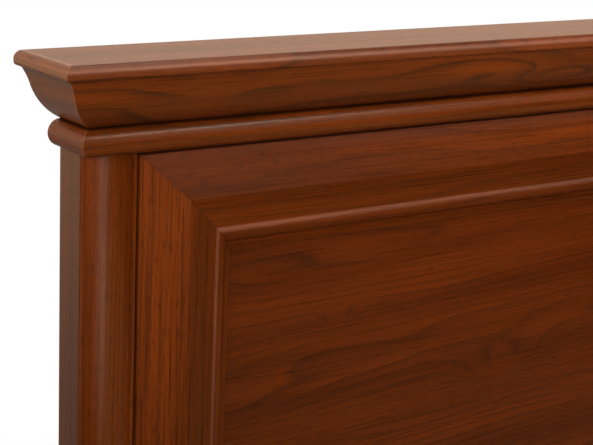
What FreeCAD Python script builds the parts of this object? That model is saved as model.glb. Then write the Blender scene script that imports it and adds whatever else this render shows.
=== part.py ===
import FreeCAD, Part
import operator
import os
from typing import NamedTuple

import Sketcher

# A double bed with a panelled headboard and footboard.
# X runs across the bed, Y from the foot to the head, Z up from the floor.
# The origin is on the floor, under the middle of the whole bed.
# Both boards face the foot, so the fronts of both look along -Y.

# Driving sizes in millimetres, with a note for the sheet
SIZES = {
    "mattress_width": (1600, "double mattress, across the bed"),
    "mattress_length": (2000, "double mattress, along the bed"),
    "mattress_side_room": (10, "play between the mattress and each rail"),
    "mattress_end_room": (10, "play between the mattress and each board"),
    "rail_thickness": (28, "side rail"),
    "rail_height": (200, "side rail"),
    "rail_underside": (150, "side rail above the floor"),
    "rail_inset": (8, "rail's outer face inside the post's"),
    "rail_edge_round": (4, "side rail"),
    "post_width": (60, "post, across the bed"),
    "post_depth": (40, "post, behind its front edges"),
    "post_bulge": (8, "swell of the post's front"),
    "post_land": (3.5, "flat beside the swell, with its rounded edge"),
    "post_edge_round": (1.5, "post's front edges"),
    "post_stop_rise": (60, "headboard post's swell ends above the rail"),
    "glide_height": (5, "plastic glide under each post"),
    "glide_radius": (14, "glide"),
    "glide_bevel": (2, "glide"),
    "glide_pin_radius": (2.5, "pin of the glide, in the post"),
    "glide_pin_length": (16, "pin of the glide, in the post"),
    "headboard_height": (1050, "floor to the top of the headboard"),
    "headboard_frame_underside": (265, "floor to the headboard's frame"),
    "footboard_height": (560, "floor to the top of the footboard"),
    "footboard_frame_underside": (115, "floor to the footboard's frame"),
    "top_rail_forward": (16, "top rail in front of the post's edges"),
    "top_board_thickness": (16, "board that caps the crown"),
    "crown_height": (65, "crown moulding"),
    "crown_projection": (47, "crown moulding, from the top rail"),
    "crown_lip": (11, "crown's rounded edge outside the top board"),
    "bead_height": (26, "half-round bead under the crown"),
    "frame_width": (109, "frame moulding, with its inner bead and steps"),
    "frame_crest": (21, "highest line of the frame above its edge"),
    "frame_thickness": (22, "frame's outer edge"),
    "frame_edge_round": (1.2, "frame's outer edge"),
    "frame_gap": (3, "shadow gap beside the frame"),
    "frame_gap_depth": (10, "shadow gap beside the frame"),
    "frame_top_gap": (7, "shadow gap over the frame"),
    "panel_thickness": (8, "flat panel"),
    "panel_set_back": (10.5, "panel's face behind the post's edges"),
    "panel_groove": (10, "depth of the frame's groove"),
    "panel_edge_room": (1, "panel's edge in the groove"),
    "lower_rail_thickness": (22, "rail under the headboard's frame"),
    "lower_rail_set_back": (4, "its face behind the post's edges"),
    "lower_rail_underside": (130, "above the floor"),
    "ledger_thickness": (25, "strip that carries the slats"),
    "ledger_height": (40, "strip that carries the slats"),
    "ledger_end_room": (30, "from each end of the rail"),
    "ledger_edge_round": (2, "strip that carries the slats"),
    "slat_drop": (70, "rail's top to the slats' top"),
    "slat_width": (100, "slat, along the bed"),
    "slat_thickness": (20, "slat"),
    "slat_end_room": (4, "slat's end to the rail"),
    "slat_edge_round": (3, "slat"),
    "tape_width": (25, "tape that spaces the slats"),
    "tape_thickness": (1.2, "tape that spaces the slats"),
    "beam_width": (40, "centre beam"),
    "beam_height": (90, "centre beam"),
    "beam_end_room": (1, "centre beam's end to the board"),
    "beam_edge_round": (2, "centre beam"),
    "bracket_steel": (2, "sheet of the beam's brackets"),
    "bracket_reach": (40, "bracket along the beam"),
    "bracket_flange_width": (25, "flange on each side"),
    "bracket_flange_height": (42, "flange"),
    "bracket_cheek_height": (62, "cheek beside the beam"),
    "leg_width": (50, "centre leg"),
    "leg_edge_round": (3, "centre leg"),
    "nut_radius": (6.5, "barrel of the leg's nut"),
    "nut_bore": (5, "bore of the leg's nut"),
    "nut_length": (14, "leg's nut"),
    "nut_flange_radius": (11, "leg's nut"),
    "nut_flange_thickness": (1.5, "leg's nut"),
    "foot_height": (12, "foot under the centre leg"),
    "foot_radius": (20, "foot under the centre leg"),
    "foot_bevel": (2, "foot's lower rim"),
    "foot_rim": (5, "height of the foot's rim"),
    "foot_neck_radius": (12, "top of the foot"),
    "spindle_radius": (4.7, "threaded spindle of the foot"),
    "spindle_seat": (8, "spindle's end inside the foot"),
    "spindle_rise": (45, "spindle above the foot"),
    "spindle_room": (0.8, "spindle in the leg's bore"),
    "spindle_end_room": (8, "over the spindle's end"),
    "plate_width": (18, "steel plates of the rail fittings"),
    "plate_height": (130, "steel plates of the rail fittings"),
    "plate_thickness": (3, "steel plates of the rail fittings"),
    "mortise_width": (10, "room for the hooks in the post"),
    "mortise_depth": (14, "room for the hooks in the post"),
    "mortise_end_room": (2, "over and under the hooks' travel"),
    "slot_width": (5, "slot in the post's plate"),
    "slot_height": (32, "slot in the post's plate"),
    "slot_spread": (20, "between the two slots"),
    "hook_thickness": (4, "hook on the rail's plate"),
    "hook_root": (20, "height of the hook's root"),
    "hook_drop": (10, "hook's tongue below its root"),
    "hook_tongue": (5, "hook's tongue, along the bed"),
    "hook_room": (0.5, "tongue behind the post's plate"),
    "plate_screw_radius": (2, "screws of plates and brackets"),
    "plate_screw_length": (18, "screws of plates and brackets"),
    "plate_screw_head": (3.8, "radius of the head"),
    "plate_screw_sink": (1.8, "height of the head"),
    "ledger_screw_radius": (2.5, "screws of the ledgers"),
    "ledger_screw_length": (45, "screws of the ledgers"),
    "ledger_screw_head": (5, "radius of the head"),
    "ledger_screw_sink": (2.8, "height of the head"),
    "dowel_radius": (4, "wooden dowels"),
    "dowel_length": (40, "wooden dowels"),
    "hole_room": (0.1, "round a dowel or a screw"),
    "overrun": (5, "how far a cut runs past its piece"),
}

SLAT_COUNT = 12
LEDGER_SCREW_COUNT = 7

# Rise over chord of a quarter circle
QUARTER_SHARE = (2 ** 0.5 - 1) / 2

# Rise over chord of the arc between each pair of corners of the crown, from its foot up and out,
# after the corner's shares of the crown's projection and height
CROWN_OUTLINE_SHARES = (
    (0.640, 0.484, 0.092, -1),
    (0.862, 0.790, 0.046, 1),
    (0.915, 0.790, 0, 0),
    (1.000, 0.851, QUARTER_SHARE, -1),
    (1.000, 0.908, 0, 0),
    (0.845, 1.000, 0.14, -1),
)

# The frame's slopes, inner bead and steps: shares of its width and crest, then the arc's rise over chord
FRAME_OUTLINE_SHARES = (
    (0.395, 1.000, 0, 0),
    (0.692, 0.700, 0.03, 1),
    (0.732, 0.750, 0.20, 1),
    (0.873, -0.060, 0.17, 1),
    (0.873, -0.200, 0, 0),
    (0.924, -0.250, 0.05, 1),
    (0.929, -0.390, 0, 0),
    (0.975, -0.410, 0.05, 1),
    (1.000, -0.480, 0.10, 1),
)

# Places of the fasteners, as shares of the piece that carries them
FRAME_DOWEL_SHARES = (0.25, 0.75)
LOWER_RAIL_DOWEL_SHARES = (0.25, 0.75)
POST_DOWEL_SHARES = (0.15, 0.75)
PLATE_SCREW_SHARE = 0.9
BRACKET_SCREW_SHARES = (0.3, 0.75)
TAPE_SHARE = 0.75

OPERATIONS = {"+": operator.add, "-": operator.sub, "*": operator.mul, "/": operator.truediv}


class Size:
    """A length, with the formula that gives it from the sheet's cells."""

    def __init__(self, value, formula):
        self.value = value
        self.formula = formula

    def joined(self, sign, other, turned=False):
        other = as_size(other)
        left, right = (other, self) if turned else (self, other)
        value = OPERATIONS[sign](left.value, right.value)
        return Size(value, f"({left.formula} {sign} {right.formula})")

    def __add__(self, other):
        return self.joined("+", other)

    def __radd__(self, other):
        return self.joined("+", other, turned=True)

    def __sub__(self, other):
        return self.joined("-", other)

    def __rsub__(self, other):
        return self.joined("-", other, turned=True)

    def __mul__(self, other):
        return self.joined("*", other)

    def __rmul__(self, other):
        return self.joined("*", other, turned=True)

    def __truediv__(self, other):
        return self.joined("/", other)

    def __rtruediv__(self, other):
        return self.joined("/", other, turned=True)

    def __neg__(self):
        return self.joined("*", -1)

    def root(self):
        return Size(self.value ** 0.5, f"sqrt({self.formula})")


def as_size(number):
    return number if isinstance(number, Size) else Size(float(number), f"({number})")


class Corner(NamedTuple):
    """A corner of an outline. side is 1 or -1 where an arc that swells left or right leads to it."""

    x: Size
    y: Size
    bow: float = 0
    side: int = 0


def make_sheet(doc):
    sheet = doc.addObject("Spreadsheet::Sheet", "Sizes")
    for row, (name, (value, note)) in enumerate(SIZES.items(), start=1):
        sheet.set(f"A{row}", name)
        sheet.set(f"B{row}", str(value))
        sheet.setAlias(f"B{row}", name)
        sheet.set(f"C{row}", note)
    doc.recompute()
    return {name: Size(float(sheet.get(name)), f"Sizes.{name}") for name in SIZES}


doc = FreeCAD.newDocument("Bed")
size = make_sheet(doc)

# The finished pieces, the groups of fasteners, and what is cut from each piece, by node name
pieces = {}
groups = {}
cutters = {}


def bind(thing, **properties):
    """Ties properties to the sheet. A double underscore in a name stands for a dot."""
    for name, length in properties.items():
        thing.setExpression(name.replace("__", "."), as_size(length).formula)


def put(thing, x, y, z):
    bind(thing, Placement__Base__x=x, Placement__Base__y=y, Placement__Base__z=z)


# Solids from the sheet

def box(name, low, high):
    """A block between two corners."""
    block = doc.addObject("Part::Box", name)
    bind(block, Length=high[0] - low[0], Width=high[1] - low[1], Height=high[2] - low[2])
    put(block, *low)
    return block


AXIS_TURNS = {
    "+x": FreeCAD.Rotation(FreeCAD.Vector(0, 0, 1), FreeCAD.Vector(1, 0, 0)),
    "-x": FreeCAD.Rotation(FreeCAD.Vector(0, 0, 1), FreeCAD.Vector(-1, 0, 0)),
    "+y": FreeCAD.Rotation(FreeCAD.Vector(0, 0, 1), FreeCAD.Vector(0, 1, 0)),
    "-y": FreeCAD.Rotation(FreeCAD.Vector(0, 0, 1), FreeCAD.Vector(0, -1, 0)),
    "+z": FreeCAD.Rotation(),
}
AXIS_STEPS = {"+x": (1, 0, 0), "-x": (-1, 0, 0), "+y": (0, 1, 0), "-y": (0, -1, 0), "+z": (0, 0, 1)}


def along(start, axis, distance):
    return tuple(place + step * distance for place, step in zip(start, AXIS_STEPS[axis]))


def cylinder(name, start, axis, radius, length):
    rod = doc.addObject("Part::Cylinder", name)
    bind(rod, Radius=radius, Height=length)
    rod.Placement.Rotation = AXIS_TURNS[axis]
    put(rod, *start)
    return rod


def cone(name, start, axis, first_radius, last_radius, length):
    taper = doc.addObject("Part::Cone", name)
    bind(taper, Radius1=first_radius, Radius2=last_radius, Height=length)
    taper.Placement.Rotation = AXIS_TURNS[axis]
    put(taper, *start)
    return taper


def joined(name, shapes):
    fusion = doc.addObject("Part::MultiFuse", name)
    fusion.Shapes = shapes
    return fusion


def less(name, base, tools):
    """The base with the tools cut away."""
    cut = doc.addObject("Part::Cut", name)
    cut.Base = base
    cut.Tool = tools[0] if len(tools) == 1 else joined(f"{name}_tools", tools)
    return cut


# Sketched outlines

def sketch_on(body, name, plane, lift=0):
    sketch = body.newObject("Sketcher::SketchObject", name)
    face = next(part for part in body.Origin.OriginFeatures if part.Role == plane)
    sketch.AttachmentSupport = [(face, "")]
    sketch.MapMode = "FlatFace"
    bind(sketch, AttachmentOffset__Base__z=lift)
    return sketch


def arc_radius(start, end):
    """Radius of the arc between two corners."""
    across = end.x - start.x
    rise = end.y - start.y
    chord = (across * across + rise * rise).root()
    bow = as_size(end.bow)
    return chord * (1 / (8 * bow) + bow / 2)


def edge_between(start, end):
    """A line or arc, and which of its two ends lies at each corner."""
    first = FreeCAD.Vector(start.x.value, start.y.value, 0)
    last = FreeCAD.Vector(end.x.value, end.y.value, 0)
    if not end.side:
        return Part.LineSegment(first, last), 1, 2
    chord = last - first
    left = FreeCAD.Vector(-chord.y, chord.x, 0).normalize() * end.side
    radius = arc_radius(start, end).value
    rise = as_size(end.bow).value * chord.Length
    centre = (first + last) / 2 - left * (radius - rise)
    circle = Part.Circle(centre, FreeCAD.Vector(0, 0, 1), radius)
    if end.side > 0:
        return Part.ArcOfCircle(circle, circle.parameter(last), circle.parameter(first)), 2, 1
    return Part.ArcOfCircle(circle, circle.parameter(first), circle.parameter(last)), 1, 2


def draw(sketch, corners):
    """Draws one closed outline, each corner tied to its place on the sheet."""
    ends = []
    for start, end in zip(corners, corners[1:] + corners[:1]):
        edge, at_start, at_end = edge_between(start, end)
        number = sketch.addGeometry(edge, False)
        ends.append((number, at_start, at_end))
        if end.side:
            radius = arc_radius(start, end)
            rule = sketch.addConstraint(Sketcher.Constraint("Radius", number, radius.value))
            sketch.setExpression(f"Constraints[{rule}]", radius.formula)
    for corner, edge, previous in zip(corners, ends, ends[-1:] + ends[:-1]):
        sketch.addConstraint(Sketcher.Constraint("Coincident", previous[0], previous[2], edge[0], edge[1]))
        for kind, length in (("DistanceX", corner.x), ("DistanceY", corner.y)):
            rule = sketch.addConstraint(Sketcher.Constraint(kind, -1, 1, edge[0], edge[1], length.value))
            sketch.setExpression(f"Constraints[{rule}]", length.formula)


def placed(corners, origin, first, second):
    """An outline moved to origin, with its own two directions turned to those given."""
    turn = first[0] * second[1] - first[1] * second[0]
    return [
        Corner(
            origin[0] + first[0] * corner.x + second[0] * corner.y,
            origin[1] + first[1] * corner.x + second[1] * corner.y,
            corner.bow,
            turn * corner.side,
        )
        for corner in corners
    ]


def polygon(*places):
    return [Corner(as_size(x), as_size(y)) for x, y in places]


def rounded_rectangle(left, bottom, right, top, radius):
    def turn(x, y):
        return Corner(x, y, QUARTER_SHARE, -1)

    return [
        turn(left + radius, bottom),
        Corner(right - radius, bottom),
        turn(right, bottom + radius),
        Corner(right, top - radius),
        turn(right - radius, top),
        Corner(left + radius, top),
        turn(left, top - radius),
        Corner(left, bottom + radius),
    ]


def pad(body, name, plane, corners, length, lift=0, both_ways=False):
    """Thickens an outline along its plane's normal: +X, -Y or +Z."""
    sketch = sketch_on(body, f"{name}_outline", plane, lift)
    draw(sketch, corners)
    feature = body.newObject("PartDesign::Pad", f"{name}_pad")
    feature.Profile = sketch
    feature.SideType = "Symmetric" if both_ways else "One side"
    bind(feature, Length=length)
    return feature


def cut_through(body, name, plane, outlines):
    """Cuts outlines away, right through the body on both sides of the plane."""
    sketch = sketch_on(body, f"{name}_cut_outline", plane)
    for corners in outlines:
        draw(sketch, corners)
    feature = body.newObject("PartDesign::Pocket", f"{name}_cut")
    feature.Profile = sketch
    feature.SideType = "Symmetric"
    feature.Type = "ThroughAll"
    return feature


def new_body(name, y=0):
    body = doc.addObject("PartDesign::Body", name)
    bind(body, Placement__Base__y=y)
    return body


def rounded_bar(name, plane, rectangle, radius, length, lift=0):
    """A straight bar with eased long edges."""
    body = new_body(name)
    pad(body, name, plane, rounded_rectangle(*rectangle, radius), length, lift)
    return body


# Fasteners, each with the hole that it needs in what it holds

def cut_from(names, tools):
    for name in names:
        cutters.setdefault(name, []).extend(tools)


def dowel(names, centre, axis):
    start = along(centre, axis, -size["dowel_length"] / 2)
    rods = groups.setdefault("dowels", [])
    rods.append(cylinder("dowel", start, axis, size["dowel_radius"], size["dowel_length"]))
    room = size["hole_room"]
    hole = cylinder(
        "dowel_hole",
        along(start, axis, -room),
        axis,
        size["dowel_radius"] + room,
        size["dowel_length"] + 2 * room,
    )
    cut_from(names, [hole])


def screw(group, names, start, axis):
    """A countersunk screw, flush with the surface at start and driven along axis."""
    kind = group.removesuffix("s")
    radius, length, head, sink = (size[f"{kind}_{part}"] for part in ("radius", "length", "head", "sink"))
    room = size["hole_room"]
    neck = along(start, axis, sink)
    solid = joined(
        kind,
        [
            cone(f"{kind}_cone", start, axis, head, radius, sink),
            cylinder(f"{kind}_shank", neck, axis, radius, length - sink),
        ],
    )
    groups.setdefault(group, []).append(solid)
    hole = joined(
        f"{kind}_hole",
        [
            cone(f"{kind}_sink", start, axis, head + room, radius + room, sink),
            cylinder(f"{kind}_bore", neck, axis, radius + room, length - sink + room),
        ],
    )
    cut_from(names, [hole])


# Shared places
rail_inner = size["mattress_width"] / 2 + size["mattress_side_room"]
rail_outer = rail_inner + size["rail_thickness"]
rail_centre = rail_inner + size["rail_thickness"] / 2
rail_top = size["rail_underside"] + size["rail_height"]
rail_middle = size["rail_underside"] + size["rail_height"] / 2
rail_length = size["mattress_length"] + 2 * size["mattress_end_room"] + size["frame_crest"]
body_half = rail_outer + size["rail_inset"]
post_inner = body_half - size["post_width"]
post_middle = body_half - size["post_width"] / 2
frame_side = post_inner - size["frame_gap"]
front_reach = size["top_rail_forward"] + size["crown_projection"]
half_length = (front_reach + size["post_depth"] + rail_length + size["post_depth"]) / 2
foot_y = front_reach - half_length
foot_back = foot_y + size["post_depth"]
head_y = half_length - size["post_depth"]
slat_top = rail_top - size["slat_drop"]
slat_underside = slat_top - size["slat_thickness"]
beam_underside = slat_underside - size["beam_height"]


class Board(NamedTuple):
    """The headboard or the footboard. y is the plane of its posts' front edges."""

    name: str
    y: Size
    height: Size
    frame_underside: Size

    @property
    def crown_underside(self):
        return self.height - size["crown_height"]

    @property
    def bead_underside(self):
        return self.crown_underside - size["bead_height"]

    @property
    def frame_top(self):
        return self.bead_underside - size["frame_top_gap"]

    @property
    def core_top(self):
        return self.height - size["top_board_thickness"]


headboard = Board("headboard", head_y, size["headboard_height"], size["headboard_frame_underside"])
footboard = Board("footboard", foot_y, size["footboard_height"], size["footboard_frame_underside"])
BOARDS = (headboard, footboard)
SIDES = {"left": -1, "right": 1}


# Posts

def post_outline():
    """Section of a post: across from its outer side, and back from its front edges."""
    width = size["post_width"]
    depth = size["post_depth"]
    land = size["post_land"]
    edge = size["post_edge_round"]
    nothing = as_size(0)
    swell = size["post_bulge"] / (width - 2 * land)
    return [
        Corner(nothing, depth),
        Corner(nothing, edge),
        Corner(edge, nothing, QUARTER_SHARE, -1),
        Corner(land, nothing),
        Corner(width - land, nothing, swell, -1),
        Corner(width - edge, nothing),
        Corner(width, edge, QUARTER_SHARE, -1),
        Corner(width, depth),
    ]


def make_post(board, side_name):
    side = SIDES[side_name]
    name = f"{board.name}_post_{side_name}"
    body = new_body(name, board.y)
    outline = placed(post_outline(), (side * body_half, as_size(0)), (-side, 0), (0, 1))
    length = board.bead_underside - size["glide_height"]
    pad(body, name, "XY_Plane", outline, length, size["glide_height"])
    if board is headboard:
        stop = rail_top + size["post_stop_rise"]
        reach = size["post_bulge"] + size["overrun"]
        cut_through(body, name, "YZ_Plane", [polygon((0, -reach), (0, stop), (-reach, stop + reach), (-reach, -reach))])
    pieces[name] = body


def make_posts(board):
    for side_name, side in SIDES.items():
        make_post(board, side_name)
        for share in POST_DOWEL_SHARES:
            centre = (side * post_middle, board.y + share * size["post_depth"], board.bead_underside)
            dowel((f"{board.name}_post_{side_name}", f"{board.name}_top_rail"), centre, "+z")


# Top rail, top board, crown and bead

def make_top_rail(board):
    front = board.y - size["top_rail_forward"]
    back = board.y + size["post_depth"]
    core = box("core", (-body_half, front, board.bead_underside), (body_half, back, board.core_top))
    tongue_low = (-post_inner, board.y + size["frame_gap_depth"], board.frame_top + size["frame_gap"])
    tongue = box("tongue", tongue_low, (post_inner, back, board.bead_underside))
    pieces[f"{board.name}_top_rail"] = joined("top_rail_blank", [core, tongue])


def make_top_board(board):
    reach = size["crown_projection"] - size["crown_lip"]
    low = (-body_half - reach, board.y - size["top_rail_forward"] - reach, board.core_top)
    high = (body_half + reach, board.y + size["post_depth"], board.height)
    name = f"{board.name}_top_board"
    pieces[name] = box(name, low, high)


def crown_outline():
    """Section of the crown: out from the top rail, and up from the crown's foot."""
    out = size["crown_projection"]
    up = size["crown_height"]
    seat = out - size["crown_lip"]
    ledge = up - size["top_board_thickness"]
    corners = [Corner(as_size(0), as_size(0))]
    corners += [Corner(x * out, y * up, bow, side) for x, y, bow, side in CROWN_OUTLINE_SHARES]
    return corners + polygon((seat, up), (seat, ledge), (0, ledge))


def bead_outline():
    """Section of the bead: a half circle against the top rail."""
    radius = size["bead_height"] / 2
    return [
        Corner(as_size(0), as_size(0)),
        Corner(radius, radius, QUARTER_SHARE, -1),
        Corner(as_size(0), 2 * radius, QUARTER_SHARE, -1),
    ]


def make_wrap(board, kind, outline, projection, underside):
    """A moulding round the top rail's front and two sides, mitred at its front corners."""
    front = -size["top_rail_forward"]
    reach = projection + size["overrun"]

    name = f"{board.name}_{kind}_front"
    body = new_body(name, board.y)
    pad(body, name, "YZ_Plane", placed(outline, (front, underside), (-1, 0), (0, 1)),
        2 * (body_half + projection), both_ways=True)
    cut_through(body, name, "XY_Plane", [
        polygon((side * body_half, front), (side * (body_half + reach), front - reach),
                (side * (body_half + reach), front))
        for side in SIDES.values()
    ])
    pieces[name] = body

    for side_name, side in SIDES.items():
        name = f"{board.name}_{kind}_{side_name}"
        body = new_body(name, board.y)
        pad(body, name, "XZ_Plane", placed(outline, (side * body_half, underside), (side, 0), (0, 1)),
            size["post_depth"] - front + projection, -size["post_depth"])
        cut_through(body, name, "XY_Plane", [
            polygon((side * body_half, front), (side * (body_half + reach), front - reach),
                    (side * body_half, front - reach)),
        ])
        pieces[name] = body


# Framed panel

def frame_outline():
    """Section of the frame: in from its outer front edge, and out from the post's front edges."""
    width = size["frame_width"]
    edge = size["frame_edge_round"]
    back = -size["frame_thickness"]
    groove_front = -size["panel_set_back"]
    groove_back = groove_front - size["panel_thickness"]
    groove_floor = width - size["panel_groove"]
    step = -size["frame_gap_depth"]
    shaped = [
        Corner(x * width, y * size["frame_crest"], bow, side)
        for x, y, bow, side in FRAME_OUTLINE_SHARES
    ]
    return (
        polygon((-size["frame_gap"], back), (-size["frame_gap"], step), (0, step), (0, -edge))
        + [Corner(edge, as_size(0), QUARTER_SHARE, 1)]
        + shaped
        + polygon((width, groove_front), (groove_floor, groove_front), (groove_floor, groove_back),
                  (width, groove_back), (width, back))
    )


def make_frame(board):
    """Four mouldings mitred at the corners, with a groove for the panel."""
    gap = size["frame_gap"]
    reach = size["frame_width"] + gap + size["overrun"]
    outline = frame_outline()
    ends = {"top": (board.frame_top + gap, -1), "bottom": (board.frame_underside - gap, 1)}
    for end_name, (edge, inward) in ends.items():
        name = f"{board.name}_frame_{end_name}"
        body = new_body(name, board.y)
        origin = (as_size(0), edge + inward * gap)
        pad(body, name, "YZ_Plane", placed(outline, origin, (0, inward), (-1, 0)), 2 * post_inner, both_ways=True)
        cut_through(body, name, "XZ_Plane", [
            polygon((side * post_inner, edge), (side * (post_inner - reach), edge + inward * reach),
                    (side * post_inner, edge + inward * reach))
            for side in SIDES.values()
        ])
        pieces[name] = body
    for side_name, side in SIDES.items():
        name = f"{board.name}_frame_{side_name}"
        body = new_body(name, board.y)
        low = ends["bottom"][0]
        high = ends["top"][0]
        pad(body, name, "XY_Plane", placed(outline, (side * frame_side, as_size(0)), (-side, 0), (0, -1)),
            high - low, low)
        cut_through(body, name, "XZ_Plane", [
            polygon((side * post_inner, edge), (side * (post_inner - reach), edge + inward * reach),
                    (side * (post_inner - reach), edge))
            for edge, inward in ends.values()
        ])
        pieces[name] = body
        for share in FRAME_DOWEL_SHARES:
            deep = board.y + (size["frame_gap_depth"] + size["frame_thickness"]) / 2
            centre = (side * post_inner, deep, low + share * (high - low))
            dowel((name, f"{board.name}_post_{side_name}"), centre, "+x")


def make_panel(board):
    inset = size["frame_width"] - size["panel_groove"] + size["panel_edge_room"]
    face = board.y + size["panel_set_back"]
    low = (-frame_side + inset, face, board.frame_underside + inset)
    high = (frame_side - inset, face + size["panel_thickness"], board.frame_top - inset)
    name = f"{board.name}_panel"
    pieces[name] = box(name, low, high)


def make_lower_rail():
    """The headboard's rail under its frame, which carries the centre beam."""
    front = head_y + size["lower_rail_set_back"]
    back = front + size["lower_rail_thickness"]
    top = headboard.frame_underside - size["frame_gap"]
    bottom = size["lower_rail_underside"]
    name = "headboard_lower_rail"
    pieces[name] = box("lower_rail_blank", (-post_inner, front, bottom), (post_inner, back, top))
    for side_name, side in SIDES.items():
        for share in LOWER_RAIL_DOWEL_SHARES:
            centre = (side * post_inner, (front + back) / 2, bottom + share * (top - bottom))
            dowel((name, f"headboard_post_{side_name}"), centre, "+x")


# Side rails and the fittings that hang them on the posts

def make_side_rails():
    for side_name, side in SIDES.items():
        name = f"side_rail_{side_name}"
        near, far = sorted((side * rail_inner, side * rail_outer), key=lambda place: place.value)
        rectangle = (near, size["rail_underside"], far, rail_top)
        pieces[name] = rounded_bar(name, "XZ_Plane", rectangle, size["rail_edge_round"], rail_length, -head_y)


def span(centre, half, y_from, y_to, bottom, top):
    """Corners of a block that is centred across the bed."""
    near, far = sorted((y_from, y_to), key=lambda place: place.value)
    return (centre - half, near, bottom), (centre + half, far, top)


def make_fitting(board, side_name):
    """Hooks on the rail's end that drop into slots on the post."""
    side = SIDES[side_name]
    at_head = board is headboard
    plane, inward, axis, back_axis = (head_y, 1, "+y", "-y") if at_head else (foot_back, -1, "-y", "+y")
    centre = side * rail_centre
    post = f"{board.name}_post_{side_name}"
    rail = f"side_rail_{side_name}"
    half_plate = size["plate_width"] / 2
    steel = size["plate_thickness"]
    low = rail_middle - size["plate_height"] / 2
    high = rail_middle + size["plate_height"] / 2
    post_skin = plane + inward * steel
    rail_skin = plane - inward * steel

    post_block = span(centre, half_plate, plane, post_skin, low, high)
    rail_block = span(centre, half_plate, plane, rail_skin, low, high)
    half_mortise = (size["slot_spread"] / 2 + size["slot_height"] + size["hook_drop"]
                    + size["mortise_end_room"])
    mortise = span(centre, size["mortise_width"] / 2, post_skin, post_skin + inward * size["mortise_depth"],
                   rail_middle - half_mortise, rail_middle + half_mortise)
    cut_from([post], [box("plate_seat", *post_block), box("mortise", *mortise)])
    cut_from([rail], [box("plate_seat", *rail_block)])

    slots = []
    hooks = [box("hook_plate", *rail_block)]
    slot_bottoms = (
        rail_middle - size["slot_spread"] / 2 - size["slot_height"],
        rail_middle + size["slot_spread"] / 2,
    )
    tongue_start = post_skin + inward * size["hook_room"]
    tongue_end = tongue_start + inward * size["hook_tongue"]
    half_hook = size["hook_thickness"] / 2
    for bottom in slot_bottoms:
        top = bottom + size["hook_root"]
        slots.append(box("slot", *span(centre, size["slot_width"] / 2, plane, post_skin,
                                       bottom, bottom + size["slot_height"])))
        hooks.append(box("hook_root", *span(centre, half_hook, plane, tongue_start, bottom, top)))
        hooks.append(box("hook_tongue", *span(centre, half_hook, tongue_start, tongue_end,
                                              bottom - size["hook_drop"], top)))
    post_plate = f"slot_plate_{board.name}_{side_name}"
    rail_plate = f"hook_plate_{board.name}_{side_name}"
    drilled[post_plate] = less("slotted", box("slot_plate", *post_block), slots)
    drilled[rail_plate] = joined("hooked", hooks)
    for sign in SIDES.values():
        height = rail_middle + sign * PLATE_SCREW_SHARE * size["plate_height"] / 2
        screw("plate_screws", (post, post_plate), (centre, plane, height), axis)
        screw("plate_screws", (rail, rail_plate), (centre, plane, height), back_axis)


# Blanks of the grouped steel pieces, before their screw holes are cut
drilled = {}


# Ledgers, slats and their tapes

def make_ledgers():
    length = rail_length - 2 * size["ledger_end_room"]
    inner = rail_inner - size["ledger_thickness"]
    bottom = slat_underside - size["ledger_height"]
    start = foot_back + size["ledger_end_room"]
    end_share = 1 / (2 * LEDGER_SCREW_COUNT)
    for side_name, side in SIDES.items():
        name = f"ledger_{side_name}"
        near, far = sorted((side * inner, side * rail_inner), key=lambda place: place.value)
        rectangle = (near, bottom, far, slat_underside)
        pieces[name] = rounded_bar(name, "XZ_Plane", rectangle, size["ledger_edge_round"], length, -start - length)
        axis = "+x" if side > 0 else "-x"
        for index in range(LEDGER_SCREW_COUNT):
            place = (side * inner, start + (2 * index + 1) * end_share * length, (bottom + slat_underside) / 2)
            screw("ledger_screws", (name, f"side_rail_{side_name}"), place, axis)


def make_slats():
    first = foot_back + size["mattress_end_room"]
    last = head_y - size["frame_crest"] - size["mattress_end_room"]
    pitch = (last - first - size["slat_width"]) / (SLAT_COUNT - 1)
    half = rail_inner - size["slat_end_room"]
    for index in range(SLAT_COUNT):
        name = f"slat_{index + 1:02d}"
        near = first + index * pitch
        rectangle = (near, slat_underside, near + size["slat_width"], slat_top)
        pieces[name] = rounded_bar(name, "YZ_Plane", rectangle, size["slat_edge_round"], 2 * half, -half)
    tapes = []
    for side in SIDES.values():
        centre = side * TAPE_SHARE * half
        tapes.append(box("slat_tape", *span(centre, size["tape_width"] / 2, first, last,
                                            slat_underside - size["tape_thickness"], slat_underside)))
    groups["slat_tapes"] = tapes


# Centre beam, its brackets, leg and foot

def make_beam():
    half = size["beam_width"] / 2
    foot_face = foot_y + size["frame_thickness"]
    head_face = head_y + size["lower_rail_set_back"]
    room = size["beam_end_room"]
    length = head_face - foot_face - 2 * room
    pieces["centre_beam"] = rounded_bar("centre_beam", "XZ_Plane", (-half, beam_underside, half, slat_underside),
                                        size["beam_edge_round"], length, room - head_face)
    make_bracket("foot", foot_face, 1, "footboard_frame_bottom")
    make_bracket("head", head_face, -1, "headboard_lower_rail")


def make_bracket(end, face, outward, carrier):
    """A folded hanger: a shelf under the beam, two cheeks, and a flange on each side."""
    half = size["beam_width"] / 2
    steel = size["bracket_steel"]
    shelf = beam_underside - steel
    tip = face + outward * size["bracket_reach"]
    flange = size["bracket_flange_width"]
    height = size["bracket_flange_height"]
    sheets = [box("shelf", *span(as_size(0), half + steel, face, tip, shelf, beam_underside))]
    places = []
    for side in SIDES.values():
        sheets.append(box("cheek", *span(side * (half + steel / 2), steel / 2, face, tip,
                                         shelf, shelf + size["bracket_cheek_height"])))
        middle = side * (half + steel + flange / 2)
        sheets.append(box("flange", *span(middle, flange / 2, face, face + outward * steel, shelf, shelf + height)))
        places += [(middle, face + outward * steel, shelf + share * height) for share in BRACKET_SCREW_SHARES]
    bracket = f"beam_bracket_{end}"
    drilled[bracket] = joined("bracket", sheets)
    for place in places:
        screw("plate_screws", (bracket, carrier), place, "-y" if outward > 0 else "+y")


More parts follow.
